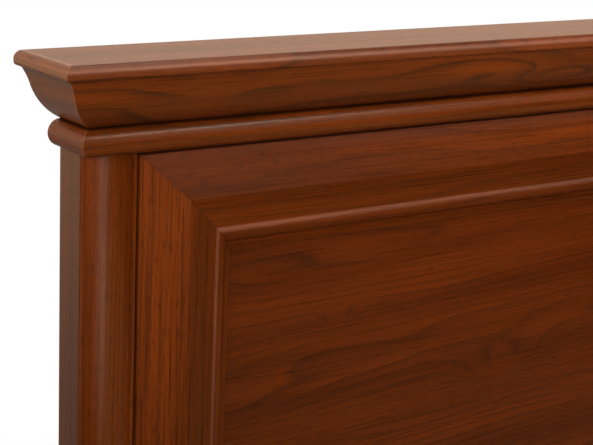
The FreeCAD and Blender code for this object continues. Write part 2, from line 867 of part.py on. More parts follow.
def make_leg():
    half = size["leg_width"] / 2
    middle = (foot_back + head_y) / 2
    bottom = size["foot_height"]
    body = new_body("centre_leg", middle)
    pad(body, "centre_leg", "XY_Plane", rounded_rectangle(-half, -half, half, half, size["leg_edge_round"]),
        beam_underside - bottom, bottom)
    pieces["centre_leg"] = body
    centre = (as_size(0), middle)
    dowel(("centre_leg", "centre_beam"), (*centre, beam_underside), "+z")

    flange = size["nut_flange_thickness"]
    start = (*centre, bottom)
    seat = cylinder("nut_seat", start, "+z", size["nut_flange_radius"], flange)
    socket = cylinder("nut_socket", start, "+z", size["nut_radius"], size["nut_length"])
    bore = cylinder("spindle_bore", start, "+z", size["spindle_radius"] + size["spindle_room"],
                    size["spindle_rise"] + size["spindle_end_room"])
    cut_from(["centre_leg"], [joined("leg_bore", [seat, socket, bore])])
    nut = joined("nut_blank", [
        cylinder("nut_flange", start, "+z", size["nut_flange_radius"], flange),
        cylinder("nut_barrel", start, "+z", size["nut_radius"], size["nut_length"]),
    ])
    pieces["centre_leg_nut"] = nut
    cut_from(["centre_leg_nut"], [cylinder("nut_thread", start, "+z", size["nut_bore"], size["nut_length"])])

    seat_bottom = bottom - size["spindle_seat"]
    length = size["spindle_seat"] + size["spindle_rise"]
    pieces["centre_foot_spindle"] = cylinder("centre_foot_spindle", (*centre, seat_bottom), "+z",
                                             size["spindle_radius"], length)
    make_foot_pad(middle, seat_bottom)


def make_foot_pad(middle, seat_bottom):
    """The plastic foot, turned round its spindle."""
    radius = size["foot_radius"]
    bevel = size["foot_bevel"]
    socket = size["spindle_radius"] + size["hole_room"]
    top = size["foot_height"]
    body = new_body("centre_foot_pad", middle)
    sketch = sketch_on(body, "foot_half_outline", "XZ_Plane")
    draw(sketch, polygon((0, 0), (radius - bevel, 0), (radius, bevel), (radius, size["foot_rim"]),
                         (size["foot_neck_radius"], top), (socket, top), (socket, seat_bottom), (0, seat_bottom)))
    turned = body.newObject("PartDesign::Revolution", "foot_turned")
    turned.Profile = sketch
    turned.ReferenceAxis = (sketch, ["V_Axis"])
    turned.Angle = 360
    pieces["centre_foot_pad"] = body


def make_glides():
    """A plastic glide with a pin under each post."""
    rise = size["glide_height"]
    bevel = size["glide_bevel"]
    radius = size["glide_radius"]
    pin = size["glide_pin_radius"]
    length = size["glide_pin_length"]
    room = size["hole_room"]
    groups["post_glides"] = []
    for board in BOARDS:
        for side_name, side in SIDES.items():
            place = (side * post_middle, board.y + size["post_depth"] / 2)
            groups["post_glides"].append(joined("post_glide", [
                cone("glide_rim", (*place, as_size(0)), "+z", radius - bevel, radius, bevel),
                cylinder("glide_disc", (*place, bevel), "+z", radius, rise - bevel),
                cylinder("glide_pin", (*place, rise), "+z", pin, length),
            ]))
            hole = cylinder("glide_hole", (*place, rise), "+z", pin + room, length + room)
            cut_from([f"{board.name}_post_{side_name}"], [hole])


def finish_pieces():
    """Cuts the holes, gathers the groups, and gives each node its label."""
    for name, tools in cutters.items():
        holder = pieces if name in pieces else drilled
        holder[name].Label = f"{name}_blank"
        holder[name] = less(f"{name}_drilled", holder[name], tools)
    steel_groups = {"post_slot_plates": "slot_plate_", "rail_hook_plates": "hook_plate_",
                    "centre_beam_brackets": "beam_bracket_"}
    for group, prefix in steel_groups.items():
        groups[group] = [thing for name, thing in drilled.items() if name.startswith(prefix)]
    for name, members in groups.items():
        gathered = doc.addObject("Part::Compound", name)
        gathered.Links = members
        pieces[name] = gathered
    for name, thing in pieces.items():
        thing.Label = name


def check_pieces():
    for thing in doc.Objects:
        if {"Invalid", "Error"} & set(thing.State):
            raise RuntimeError(f"{thing.Label} failed: {thing.State}")
    for name, thing in pieces.items():
        if thing.Shape.isNull() or not thing.Shape.isValid() or not thing.Shape.Solids:
            raise RuntimeError(f"{name} has no valid solid")
        if thing.Label != name:
            raise RuntimeError(f"{name} is labelled {thing.Label}")


def write_pieces():
    os.makedirs("parts", exist_ok=True)
    for name, thing in pieces.items():
        thing.Shape.exportStep(f"parts/{name}.step")
        print(name, len(thing.Shape.Solids), round(thing.Shape.Volume))


for each_board in BOARDS:
    make_posts(each_board)
    make_top_rail(each_board)
    make_top_board(each_board)
    make_wrap(each_board, "crown", crown_outline(), size["crown_projection"], each_board.crown_underside)
    make_wrap(each_board, "bead", bead_outline(), size["bead_height"] / 2, each_board.bead_underside)
    make_frame(each_board)
    make_panel(each_board)
make_lower_rail()
make_side_rails()
for each_board in BOARDS:
    for each_side in SIDES:
        make_fitting(each_board, each_side)
make_ledgers()
make_slats()
make_beam()
make_leg()
make_glides()
finish_pieces()
doc.recompute()
check_pieces()
write_pieces()
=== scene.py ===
import math

import bmesh
import bpy
from mathutils import Matrix, Vector


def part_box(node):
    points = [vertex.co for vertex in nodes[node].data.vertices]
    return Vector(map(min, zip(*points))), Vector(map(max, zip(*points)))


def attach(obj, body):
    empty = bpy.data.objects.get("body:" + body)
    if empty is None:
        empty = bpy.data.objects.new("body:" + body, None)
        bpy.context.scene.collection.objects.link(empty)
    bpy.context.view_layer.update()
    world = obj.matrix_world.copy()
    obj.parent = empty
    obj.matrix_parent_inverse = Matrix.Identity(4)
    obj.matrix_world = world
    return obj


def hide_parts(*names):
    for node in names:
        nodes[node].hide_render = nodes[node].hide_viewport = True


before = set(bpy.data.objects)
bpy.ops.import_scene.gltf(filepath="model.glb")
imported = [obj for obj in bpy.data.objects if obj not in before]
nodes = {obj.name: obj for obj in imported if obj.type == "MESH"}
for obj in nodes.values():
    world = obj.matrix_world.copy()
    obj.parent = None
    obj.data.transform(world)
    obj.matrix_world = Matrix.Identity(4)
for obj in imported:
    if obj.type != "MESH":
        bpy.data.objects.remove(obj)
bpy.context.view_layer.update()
scene = bpy.context.scene

X, Y, Z = (1, 0, 0), (0, 1, 0), (0, 0, 1)
SLAT_NUMBERS = range(1, 13)


def srgb(red, green, blue):
    """A colour from 0 to 255 as a linear one."""
    def linear(code):
        share = code / 255
        return share / 12.92 if share <= 0.04045 else ((share + 0.055) / 1.055) ** 2.4

    return (linear(red), linear(green), linear(blue), 1.0)


# Camera

IMAGE_WIDTH = 593
FOCAL_PIXELS = 1564
SENSOR_WIDTH = 36
CAMERA_PLACE = (-1.4991, -0.1831, 1.2655)
CAMERA_TURNS = (36.02, 14.65, 2.58)


def make_camera():
    """A camera turned to the right, then down, then rolled."""
    yaw, pitch, roll = (math.radians(turn) for turn in CAMERA_TURNS)
    up = Vector(Z)
    level = Vector((math.sin(yaw), math.cos(yaw), 0))
    right = Vector((math.cos(yaw), -math.sin(yaw), 0))
    ahead = math.cos(pitch) * level - math.sin(pitch) * up
    over = math.cos(pitch) * up + math.sin(pitch) * level
    x_axis = math.cos(roll) * right + math.sin(roll) * over
    y_axis = -math.sin(roll) * right + math.cos(roll) * over
    data = bpy.data.cameras.new("camera")
    data.sensor_width = SENSOR_WIDTH
    data.lens = SENSOR_WIDTH * FOCAL_PIXELS / IMAGE_WIDTH
    camera = bpy.data.objects.new("camera", data)
    camera.matrix_world = Matrix.Translation(CAMERA_PLACE) @ Matrix((x_axis, y_axis, -ahead)).transposed().to_4x4()
    scene.collection.objects.link(camera)
    scene.camera = camera


# Lamps

LAMP_COLOUR = (1.0, 0.97, 0.93)
OPEN = 180

# Name, place, aim, width, height, power in watts, spread in degrees, and whether gloss shows the lamp
LAMPS = (
    ("left", (-2.0, -0.75, 1.9), (-0.55, 1.0, 1.75), 1.3, 1.3, 18.5, 60, True),
    ("flank", (-3.0, 0.6, 1.9), (-0.87, 1.02, 1.35), 1.0, 1.0, 2.5, 60, False),
    ("right", (1.14, -1.1, 2.0), (-0.2, 1.0, 1.5), 1.4, 1.4, 0.9, 60, True),
    ("accent", (0.65, -0.15, 2.5), (0.2, 1.0, 1.5), 1.1, 0.28, 2.7, 50, True),
    ("strip", (-0.75, -0.1, 0.56), (-0.83, 1.0, 0.8), 0.14, 0.5, 0.1, 60, True),
    ("overhead", (-0.3, 1.2, 3.2), (-0.3, 0.8, 0.0), 2.2, 2.2, 32, OPEN, True),
    ("rear", (0.3, 4.2, 3.0), (0.0, 0.6, 0.5), 2.0, 2.0, 100, OPEN, False),
    ("front", (-2.8, -3.6, 2.0), (-0.5, -0.9, 0.3), 1.2, 1.2, 10, 36, False),
    ("side", (3.3, 0.4, 2.2), (0.5, 0.0, 0.4), 1.6, 1.6, 30, OPEN, False),
)


def make_lamp(name, place, aim, width, height, power, spread, mirrored):
    data = bpy.data.lights.new(name, "AREA")
    data.shape = "RECTANGLE"
    data.size = width
    data.size_y = height
    data.energy = power
    data.color = LAMP_COLOUR
    data.spread = math.radians(spread)
    lamp = bpy.data.objects.new(name, data)
    lamp.location = place
    lamp.rotation_euler = (Vector(aim) - Vector(place)).to_track_quat("-Z", "Y").to_euler()
    lamp.visible_camera = False
    lamp.visible_glossy = mirrored
    scene.collection.objects.link(lamp)


# Shader nodes

class Shader:
    """A material or world, and short ways to add its nodes."""

    def __init__(self, owner):
        owner.use_nodes = True
        self.owner = owner
        self.tree = owner.node_tree
        self.tree.nodes.clear()

    def add(self, kind, *inputs, **settings):
        """A node. Its inputs follow in order, and settings that it doesn't have are named inputs."""
        node = self.tree.nodes.new(f"ShaderNode{kind}")
        named = {}
        for name, value in settings.items():
            if hasattr(node, name):
                setattr(node, name, value)
            else:
                named[name.replace("_", " ")] = value
        for key, value in [*enumerate(inputs), *named.items()]:
            self.feed(node.inputs[key], value)
        return node

    def feed(self, socket, value):
        """Links a socket to another one, or sets its own value."""
        if isinstance(value, bpy.types.NodeSocket):
            self.tree.links.new(value, socket)
        else:
            socket.default_value = value

    def place(self):
        """The point on the piece, in metres."""
        return self.add("TexCoord").outputs["Object"]

    def math(self, operation, *inputs):
        return self.add("Math", *inputs, operation=operation).outputs[0]

    def times(self, first, second):
        return self.math("MULTIPLY", first, second)

    def times_plus(self, first, second, addend):
        return self.math("MULTIPLY_ADD", first, second, addend)

    def any_of(self, *flags):
        """The largest of some values."""
        total = flags[0]
        for flag in flags[1:]:
            total = self.math("MAXIMUM", total, flag)
        return total

    def dot(self, vector, direction):
        return self.add("VectorMath", vector, Vector(direction), operation="DOT_PRODUCT").outputs["Value"]

    def mix(self, share, first, second, blend="MIX"):
        """The first colour, and the second by a share."""
        node = self.add("Mix", data_type="RGBA", blend_type=blend)
        for name, value in (("Factor_Float", share), ("A_Color", first), ("B_Color", second)):
            self.feed(next(socket for socket in node.inputs if socket.identifier == name), value)
        return next(socket for socket in node.outputs if socket.identifier == "Result_Color")

    def noise(self, vector, scale=1.0, detail=2.0, roughness=0.5):
        return self.add("TexNoise", Vector=vector, Scale=scale, Detail=detail, Roughness=roughness).outputs[0]

    def ramp(self, share, *stops):
        """Colours or greys at some places from 0 to 1."""
        node = self.add("ValToRGB", share)
        elements = node.color_ramp.elements
        while len(elements) < len(stops):
            elements.new(0.5)
        for element, (place, colour) in zip(elements, stops):
            element.position = place
            element.color = colour if isinstance(colour, tuple) else (colour, colour, colour, 1)
        return node.outputs[0]

    def span(self, value, low, high, to_low=0.0, to_high=1.0):
        """Maps low to high onto another span, held at its ends."""
        return self.add("MapRange", value, low, high, to_low, to_high).outputs[0]

    def finish(self, surface, kind="Material"):
        output = self.add(f"Output{kind}")
        self.tree.links.new(surface, output.inputs["Surface"])

    def cover(self, colour, roughness, relief, strength, depth, **others):
        """Ends a material with a surface that has a fine relief. others are further inputs of the surface."""
        bump = self.add("Bump", Strength=strength, Distance=depth, Height=relief).outputs[0]
        surface = self.add("BsdfPrincipled", Base_Color=colour, Roughness=roughness, Normal=bump, **others)
        self.finish(surface.outputs[0])
        return self.owner


# World and floor

WHITE = (1.0, 1.0, 1.0, 1.0)
WARM_WHITE = (1.0, 0.78, 0.59, 1.0)
LOW_WHITE = (1.0, 0.82, 0.34, 1.0)
AMBIENT = 0.08

# The backdrop in gloss fades out towards the front, upward and downward, by the view direction's parts
FADE_FRONT = (-0.15, 0.3)
FADE_UP = (0.7, 0.3)
FADE_DOWN = (-0.4, -0.05)
SHARE_BELOW = 0.2
FADE_WARM = (-0.35, 0.05)

# The floor glows white by a share that rises to the whole between two distances from the bed's middle
FLOOR_HALF = 30.0
FLOOR_PAPER = (0.55, 0.55, 0.55, 1)
FLOOR_GLOW = 0.55
FLOOR_FADE = (1.0, 2.6)


def seen_directly(shader):
    path = shader.add("LightPath").outputs
    return shader.any_of(path["Is Camera Ray"], path["Is Transmission Ray"])


def make_world():
    """White round the bed. Gloss sees a warm white backdrop behind it and a dark room above and in front, and the
    rest of the light is a faint white from all sides."""
    world = scene.world or bpy.data.worlds.new("world")
    scene.world = world
    shader = Shader(world)
    direction = shader.add("TexCoord").outputs["Generated"]
    behind = shader.span(shader.dot(direction, Y), *FADE_FRONT)
    height = shader.dot(direction, Z)
    low = shader.times(shader.span(height, *FADE_UP), shader.span(height, *FADE_DOWN, SHARE_BELOW, 1.0))
    mirrored = shader.add("LightPath").outputs["Is Glossy Ray"]
    gloss = shader.times(mirrored, shader.times(behind, low))
    around = shader.times_plus(mirrored, -AMBIENT, AMBIENT)
    strength = shader.any_of(seen_directly(shader), gloss, around)
    warm = shader.mix(shader.span(height, *FADE_WARM), LOW_WHITE, WARM_WHITE)
    colour = shader.mix(gloss, WHITE, warm)
    shader.finish(shader.add("Background", colour, strength).outputs[0], "World")


def make_floor():
    """A pale floor with the bed's shadow, which fades to the white of the backdrop."""
    half = FLOOR_HALF
    mesh = bpy.data.meshes.new("floor")
    mesh.from_pydata([(-half, -half, 0), (half, -half, 0), (half, half, 0), (-half, half, 0)], [], [(0, 1, 2, 3)])
    floor = bpy.data.objects.new("floor", mesh)
    scene.collection.objects.link(floor)
    shader = Shader(bpy.data.materials.new("floor"))
    distance = shader.add("VectorMath", shader.place(), operation="LENGTH").outputs["Value"]
    near = shader.span(distance, *FLOOR_FADE, FLOOR_GLOW, 1.0)
    far = shader.times(near, seen_directly(shader))
    paper = shader.add("BsdfDiffuse", FLOOR_PAPER).outputs[0]
    glow = shader.add("Emission", WHITE, 1.0).outputs[0]
    shader.finish(shader.add("MixShader", far, paper, glow).outputs[0])
    mesh.materials.append(shader.owner)
    floor.visible_glossy = False


# Grain of wood and foil

SEED_SHIFTS = (3.7, 1.3)


def grain_plane(shader, along, across, seed):
    """Distances along and across the grain, on a surface that the grain wraps."""
    place = shader.place()
    u = shader.math("ADD", shader.dot(place, along), seed * SEED_SHIFTS[0])
    v = shader.math("ADD", shader.dot(place, across), seed * SEED_SHIFTS[1])
    return u, v


def stretched(shader, plane, along_scale, across_scale):
    u, v = plane
    return shader.add("CombineXYZ", shader.times(u, along_scale), shader.times(v, across_scale), 0.0).outputs[0]


def grain_noise(shader, plane, along_scale, across_scale, detail=2.0, roughness=0.5):
    """Noise with a scale per metre along the grain, and another across it."""
    return shader.noise(stretched(shader, plane, along_scale, across_scale), detail=detail, roughness=roughness)


def swell(shader, plane, centre, reach):
    """A soft hill, 1 high."""
    across, up = (shader.math("DIVIDE", shader.math("SUBTRACT", place, middle), extent)
                  for place, middle, extent in zip(plane, centre, reach))
    far = shader.times_plus(across, across, shader.times(up, up))
    return shader.math("EXPONENT", shader.times(far, -1.0))


# Cherry foil

# Colours from the light early wood to the pores, and the tint of its gloss. The dark colour and the pores' colour
# also serve as painted shade
CHERRY_LIGHT = srgb(126, 54, 8)
CHERRY_MIDDLE = srgb(84, 33, 3)
CHERRY_DARK_AND_SHADE = srgb(42, 22, 7)
CHERRY_PORE_AND_SHADE = srgb(30, 14, 6)
CHERRY_SHEEN = (1.0, 0.84, 0.68, 1.0)

# Scale along and across the grain, detail, and roughness where it isn't a half
CHERRY_NOISES = {
    "drift": (1.6, 9.0, 1.5),
    "tremble": (14.0, 60.0, 2.0),
    "patch": (2.2, 18.0, 1.0),
    "streak": (7.0, 420.0, 3.5, 0.66),
    "broad": (1.2, 26.0, 1.0),
    "thread": (5.0, 700.0, 2.0, 0.6),
    "pores": (70.0, 1000.0, 1.0),
    "fine": (160.0, 2400.0, 2.0),
}

# How many growth lines drift and tremble shift them by, and how dark a line is from one to the next
DRIFT_LINES = 10.0
TREMBLE_LINES = 0.35
LINE_STOPS = ((0.0, 0.0), (0.45, 0.1), (0.78, 0.5), (0.9, 1.0), (1.0, 0.0))
WEAKEST_PATCH = 0.35

TONGUE_SHARE = 0.6
PORE_SHARE = 0.38
PORE_DEPTH = -0.8
STREAK_ROUGHNESS = 0.08


def cherry(node, along, across, seed, lines=70.0, waves=1.2, contrast=0.5, streaks=0.5, tint=(1, 1, 1),
           gloss=0.25, rough=0.25, swells=(), seams_and_painted_light=()):
    """Foil with a cherry figure. lines counts growth lines per metre, and waves bends them into arches. contrast is
    the lines' share and streaks the fine threads' share. swells are hills and hollows at a place from the piece's
    low end, and a hollow is a tongue of light wood. seams_and_painted_light are planes through corners of its box,
    where the foil's colour changes within a short reach: dark joints, pale mitre lines, and bands of painted
    highlight and painted shade."""
    shader = Shader(bpy.data.materials.new(f"cherry_{node}"))
    low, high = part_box(node)
    corners = [Vector((x, y, z)) for x in (low[0], high[0]) for y in (low[1], high[1]) for z in (low[2], high[2])]
    origin = [min(corner.dot(Vector(direction)) for corner in corners) + seed * shift
              for direction, shift in zip((along, across), SEED_SHIFTS)]
    plane = grain_plane(shader, along, across, seed)
    noise = {name: grain_noise(shader, plane, *numbers) for name, numbers in CHERRY_NOISES.items()}

    # Growth lines
    height = shader.times_plus(plane[1], lines, shader.times(noise["drift"], waves * DRIFT_LINES))
    height = shader.times_plus(noise["tremble"], TREMBLE_LINES, height)
    patch = shader.span(noise["patch"], 0.3, 0.6, WEAKEST_PATCH, 1.0)
    slopes = []
    tongues = []
    for centre, reach, amount in swells:
        hill = swell(shader, plane, [place + start for place, start in zip(centre, origin)], reach)
        height = shader.times_plus(hill, amount, height)
        rest = shader.math("SUBTRACT", 1.0, hill)
        patch = shader.times(patch, rest)
        slopes.append(shader.times(shader.times(hill, 4.0), rest))
        if amount < 0:
            tongues.append(shader.times(hill, hill))
    line = shader.ramp(shader.math("FRACT", height), *LINE_STOPS)
    line = shader.times(line, shader.times(shader.any_of(patch, *slopes), contrast))

    # Colour
    streak = shader.span(noise["streak"], 0.28, 0.72)
    broad = shader.span(noise["broad"], 0.3, 0.7)
    tone = shader.times_plus(streak, 0.5, shader.times(broad, 0.5))
    wood = shader.ramp(tone, (0.05, CHERRY_MIDDLE), (0.95, CHERRY_LIGHT))
    if tongues:
        wood = shader.mix(shader.times(shader.any_of(*tongues), TONGUE_SHARE), wood, CHERRY_LIGHT)
    wood = shader.mix(line, wood, CHERRY_DARK_AND_SHADE)
    wood = shader.mix(shader.times(shader.span(noise["thread"], 0.50, 0.63), streaks), wood, CHERRY_DARK_AND_SHADE)
    pores = shader.span(noise["pores"], 0.57, 0.66)
    wood = shader.mix(shader.times(pores, PORE_SHARE), wood, CHERRY_PORE_AND_SHADE)
    wood = shader.mix(1.0, wood, (*tint, 1), blend="MULTIPLY")

    place = shader.place()
    # Seams paint dark joints and pale mitre lines, and bands of painted highlight and painted shade
    for direction, ends, reach, share, colour, *inset in seams_and_painted_light:
        corner = Vector([(low, high)[end][axis] for axis, end in enumerate(ends)])
        offset = corner.dot(Vector(direction)) + sum(inset)
        gap = shader.math("ABSOLUTE", shader.math("SUBTRACT", shader.dot(place, direction), offset))
        wood = shader.mix(shader.span(gap, reach / 3, reach, share, 0.0), wood, colour)

    relief = shader.times_plus(pores, PORE_DEPTH, noise["fine"])
    roughness = shader.span(streak, 0.0, 1.0, rough, rough + STREAK_ROUGHNESS)
    return shader.cover(wood, roughness, relief, strength=0.16, depth=0.0004, Specular_IOR_Level=gloss,
                        Specular_Tint=CHERRY_SHEEN)


# The other materials

PINE_LIGHT = srgb(238, 212, 168)
PINE_MIDDLE = srgb(226, 196, 148)
PINE_LINE = srgb(201, 152, 92)
PINE_KNOT = srgb(120, 72, 36)
PINE_LINES = 130.0
PINE_DRIFT_LINES = 9.0
PINE_KNOT_LINES = 3.5
PINE_LINE_SHARE = 0.55
BEECH_DARK = srgb(196, 152, 108)
BEECH_LIGHT = srgb(222, 184, 140)
ZINC_DARK = srgb(176, 178, 180)
ZINC_LIGHT = srgb(206, 206, 202)
ZINC_SCRATCHES = (60, 60, 1600)
PLASTIC_DARK = srgb(30, 30, 31)
PLASTIC_LIGHT = srgb(42, 42, 43)
YARN_DARK = srgb(188, 182, 166)
YARN_LIGHT = srgb(232, 228, 216)
YARN_SOIL = srgb(176, 166, 146)
WARP_PITCH = 0.0011
WEFT_PITCH = 0.0016


def pine(name, along, across, seed):
    """Planed softwood with growth lines and a few knots."""
    shader = Shader(bpy.data.materials.new(name))
    plane = grain_plane(shader, along, across, seed)
    cells = stretched(shader, plane, 2.6, 9.0)
    knot = shader.add("TexVoronoi", Vector=cells, Scale=1.0, Randomness=1.0).outputs["Distance"]
    near = shader.span(knot, 0.0, 0.22, 1.0, 0.0)
    drift = grain_noise(shader, plane, 1.1, 8.0, detail=1.5)
    height = shader.times_plus(plane[1], PINE_LINES, shader.times(drift, PINE_DRIFT_LINES))
    height = shader.times_plus(near, PINE_KNOT_LINES, height)
    line = shader.ramp(shader.math("FRACT", height), (0.0, 0.1), (0.6, 0.3), (0.92, 1.0), (1.0, 0.1))
    fibre = grain_noise(shader, plane, 12.0, 700.0, detail=3.0)
    wood = shader.ramp(fibre, (0.3, PINE_MIDDLE), (0.7, PINE_LIGHT))
    wood = shader.mix(shader.times(line, PINE_LINE_SHARE), wood, PINE_LINE)
    wood = shader.mix(shader.span(knot, 0.035, 0.06, 1.0, 0.0), wood, PINE_KNOT)
    relief = shader.math("ADD", fibre, line)
    return shader.cover(wood, 0.6, relief, strength=0.2, depth=0.0003, Specular_IOR_Level=0.3)


def beech(name):
    """Turned hardwood with flecks."""
    shader = Shader(bpy.data.materials.new(name))
    fleck = shader.noise(shader.place(), scale=900.0, detail=3.0)
    wood = shader.ramp(fleck, (0.35, BEECH_DARK), (0.65, BEECH_LIGHT))
    return shader.cover(wood, 0.6, fleck, strength=0.3, depth=0.0002)


def zinc(name):
    """Clouded zinc plating with fine scratches."""
    shader = Shader(bpy.data.materials.new(name))
    place = shader.place()
    cloud = shader.noise(place, scale=160.0, detail=4.0)
    scratch = shader.noise(shader.add("VectorMath", place, Vector(ZINC_SCRATCHES), operation="MULTIPLY").outputs[0])
    metal = shader.ramp(cloud, (0.3, ZINC_DARK), (0.7, ZINC_LIGHT))
    roughness = shader.span(cloud, 0.3, 0.7, 0.28, 0.42)
    return shader.cover(metal, roughness, scratch, strength=0.15, depth=0.0001, Metallic=1.0)


def black_plastic(name):
    """Moulded plastic with a fine grain."""
    shader = Shader(bpy.data.materials.new(name))
    speckle = shader.noise(shader.place(), scale=1800.0, detail=2.0)
    colour = shader.ramp(speckle, (0.3, PLASTIC_DARK), (0.7, PLASTIC_LIGHT))
    return shader.cover(colour, 0.55, speckle, strength=0.35, depth=0.0002)


def woven(name):
    """Flat woven webbing: ribs across, fine yarns along, and a little soil."""
    shader = Shader(bpy.data.materials.new(name))
    place = shader.place()
    x, y = shader.add("SeparateXYZ", place).outputs[:2]
    warp = shader.math("SINE", shader.times(x, math.tau / WARP_PITCH))
    weft = shader.math("SINE", shader.times(y, math.tau / WEFT_PITCH))
    weave = shader.times(warp, weft)
    fuzz = shader.noise(place, scale=1500.0, detail=3.0)
    soil = shader.noise(place, scale=14.0, detail=3.0)
    tone = shader.times_plus(weave, 0.18, shader.times_plus(fuzz, 0.3, 0.35))
    yarn = shader.ramp(tone, (0.2, YARN_DARK), (0.8, YARN_LIGHT))
    yarn = shader.mix(shader.span(soil, 0.5, 0.75, 0.0, 0.25), yarn, YARN_SOIL)
    relief = shader.times_plus(weave, 0.5, fuzz)
    return shader.cover(yarn, 0.9, relief, strength=0.7, depth=0.0003)


# Figure of each piece

# Seams, and bands of painted highlight and painted shade: a plane's direction, the corner of the piece's box that it
# runs through, with 0 for low and 1 for high, how far the colour reaches, its share at the plane, the colour, and
# where given how far the plane is set off
# A pale line along the crown's and bead's mitres
CHERRY_PALE_LINE = srgb(150, 88, 56)
# Pale colour painted as a highlight on the crown's rounding, the frame's crests and the frame top's outer edge
CHERRY_PAINTED_HIGHLIGHT = srgb(190, 140, 120)
# Dark colour painted as shade on the crown's lip
CHERRY_LIP_SHADE = srgb(78, 48, 34)
CROWN_MITRE = (0.0011, 0.4, CHERRY_PALE_LINE)
CROWN_LEFT_MITRE = ((1, -1, 0), (0, 0, 0), *CROWN_MITRE)
CROWN_RIGHT_MITRE = ((1, 1, 0), (1, 0, 0), *CROWN_MITRE)
# Painted highlight: a pale line on the crown's top rounding, just above the fillet
CROWN_EDGE_HIGHLIGHT = (Z, (0, 0, 1), 0.0032, 0.13, CHERRY_PAINTED_HIGHLIGHT, -0.0046)
# Painted shade: a dark band on the crown's top rounding, just below the top
CROWN_ROUNDING_SHADE = (Z, (0, 0, 1), 0.0025, 0.25, CHERRY_DARK_AND_SHADE, -0.0012)
# Painted shade: a darker band across the crown's lip, below its top
CROWN_LIP_SHADE = (Z, (0, 0, 1), 0.0085, 0.45, CHERRY_LIP_SHADE, -0.0055)
CROWN_SHADE = (Z, (0, 0, 0), 0.034, 0.38, CHERRY_DARK_AND_SHADE, 0.012)
# Painted shade: dark lines in the crevice above the bead and at the crown's foot
TOP_CREVICE_SHADE = (Z, (0, 0, 1), 0.0014, 0.7, CHERRY_PORE_AND_SHADE)
FOOT_CREVICE_SHADE = (Z, (0, 0, 0), 0.0026, 0.85, CHERRY_PORE_AND_SHADE)
FRAME_MITRE = (0.0009, 0.4, CHERRY_PORE_AND_SHADE)
FRAME_MITRES = {
    "top_left": ((1, 0, 1), (0, 0, 1), *FRAME_MITRE),
    "top_right": ((1, 0, -1), (1, 0, 1), *FRAME_MITRE),
    "bottom_left": ((1, 0, -1), (0, 0, 0), *FRAME_MITRE),
    "bottom_right": ((1, 0, 1), (1, 0, 0), *FRAME_MITRE),
}

# A painted highlight on the crest of the frame's inner bead, painted shade on the slope beside it, and a painted
# highlight on the top piece's outer edge
LEVEL_CREST_HIGHLIGHT = (0.0038, 0.14, CHERRY_PAINTED_HIGHLIGHT)
LEVEL_SLOPE_SHADE = (0.024, 0.13, CHERRY_DARK_AND_SHADE)
UPRIGHT_CREST_HIGHLIGHT = (0.0022, 0.1, CHERRY_PAINTED_HIGHLIGHT)
UPRIGHT_SLOPE_SHADE = (0.02, 0.2, CHERRY_DARK_AND_SHADE)
FRAME_PAINTED_BANDS = {
    "top": ((Z, (0, 0, 0), *LEVEL_CREST_HIGHLIGHT, 0.031), (Z, (0, 0, 0), *LEVEL_SLOPE_SHADE, 0.05),
            (Z, (0, 0, 1), 0.014, 0.06, CHERRY_PAINTED_HIGHLIGHT, -0.003)),
    "bottom": ((Z, (0, 0, 1), *LEVEL_CREST_HIGHLIGHT, -0.031), (Z, (0, 0, 1), *LEVEL_SLOPE_SHADE, -0.05)),
    "left": ((X, (1, 0, 0), *UPRIGHT_CREST_HIGHLIGHT, -0.031), (X, (1, 0, 0), *UPRIGHT_SLOPE_SHADE, -0.0485)),
    "right": ((X, (0, 0, 0), *UPRIGHT_CREST_HIGHLIGHT, 0.031), (X, (0, 0, 0), *UPRIGHT_SLOPE_SHADE, 0.0485)),
}


# The frame's bands of painted highlight and painted shade, and its dark mitre joints
def frame_painted_bands_and_mitres(side, *corners):
    return (*FRAME_PAINTED_BANDS[side], *(FRAME_MITRES[corner] for corner in corners))


# Swells: the centre and the reach along and across the grain, and how many growth lines it rises or falls by.
# The crown's front has a wide bend by the left corner, then tongues of light wood and small eyes.
CROWN_SWELLS = (
    ((0.155, 0.02), (0.075, 0.5), 0.9),
    ((0.50, 0.045), (0.085, 0.016), -1.1),
    ((0.60, 0.030), (0.055, 0.010), 1.6),
    ((1.10, 0.030), (0.120, 0.018), 1.1),
    ((1.45, 0.050), (0.090, 0.014), -1.0),
)

# The panel has a wide eye and a small one.
PANEL_SWELLS = (
    ((0.393, 0.312), (0.075, 0.024), 4.2),
    ((0.148, 0.407), (0.028, 0.012), 2.2),
)

# Figures that two pieces share
# The crown's sides get a paler, greyer tint than its front: partly the foil's tone, partly a painted sheen of the
# side faces
CROWN_SIDE = dict(lines=60, waves=0.8, contrast=0.5, streaks=0.3, gloss=1.0, tint=(1.1, 1.25, 1.3))
BEAD_SIDE = dict(lines=90, waves=0.6, contrast=0.5, streaks=0.35, gloss=0.32)
POST = dict(lines=110, waves=0.35, contrast=0.45, streaks=0.42, gloss=0.5, rough=0.2, tint=(0.85, 0.82, 0.7))
FRAME_LEVEL = dict(lines=70, waves=0.6, contrast=0.45, streaks=0.3, gloss=0.1, tint=(0.83, 0.81, 0.95))
FRAME_UPRIGHT = dict(lines=90, waves=0.5, contrast=0.45, streaks=0.5, gloss=0.14, tint=(0.86, 0.9, 1.3))
SIDE_RAIL = dict(lines=60, waves=1.6, contrast=0.7, tint=(0.88, 0.86, 0.85))

